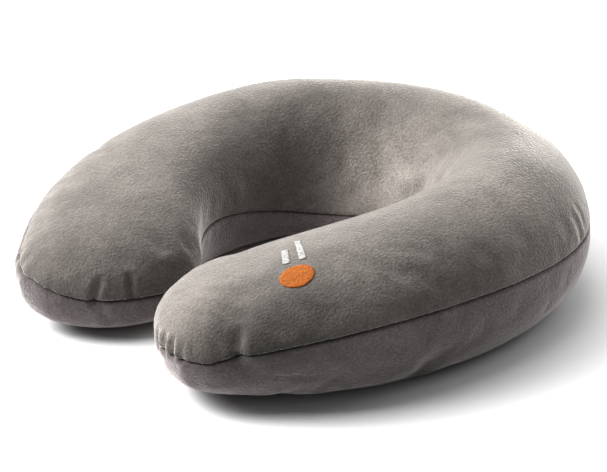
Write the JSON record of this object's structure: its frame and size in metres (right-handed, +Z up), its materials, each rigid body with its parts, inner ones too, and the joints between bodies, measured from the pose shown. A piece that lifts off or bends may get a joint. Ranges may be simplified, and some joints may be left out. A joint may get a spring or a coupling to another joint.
{
  "type": "neck pillow",
  "caption": "U-shaped neck pillow with a zipped plush cover over a lined foam core, higher at the closed end and lower at the rounded tips.",
  "frame": {"origin": "middle of the pillow's footprint, on the ground", "axes": "+Z up, -Y towards the opening of the U, +X towards the arm that carries the printed mark"},
  "size_m": [0.3018, 0.3169, 0.089],
  "materials": {
    "plush_upper": "short-pile plush, warm grey, velvety sheen",
    "plush_lower": "short-pile plush, grey with a slight mauve cast",
    "knit": "thin white jersey knit",
    "foam": "open-cell slow-recovery foam, cream",
    "zip_tape": "woven polyester tape, dark grey",
    "zip_coil": "nylon coil, dark grey",
    "zip_metal": "grey plated zinc alloy",
    "print_orange": "orange heat-transfer film",
    "print_white": "white heat-transfer film"
  },
  "bodies": {
    "pillow": {"cover_top_panel": "plush_upper", "cover_bottom_panel": "plush_lower", "liner_top_panel": "knit", "liner_bottom_panel": "knit", "foam_core": "foam", "zip_tape_upper": "zip_tape", "zip_tape_lower": "zip_tape", "zip_coil_upper": "zip_coil", "zip_coil_lower": "zip_coil", "zip_top_stop_upper": "zip_metal", "zip_top_stop_lower": "zip_metal", "zip_bottom_stop": "zip_metal", "print_disc": "print_orange", "print_bar_long": "print_white", "print_bar_short": "print_white"},
    "slider": {"zip_slider": "zip_metal"},
    "pull": {"zip_pull": "zip_metal"}
  },
  "joints": [
    {"name": "zip_travel", "type": "hinge", "parent": "pillow", "child": "slider", "pos_m": [0, 0.00851, 0.043], "axis": [0, 0, -1], "range_deg": [0, 64]},
    {"name": "pull_swing", "type": "hinge", "parent": "slider", "child": "pull", "pos_m": [-0.08059, 0.13621, 0.043], "axis": [0, 0, 1], "range_deg": [0, 175]}
  ]
}
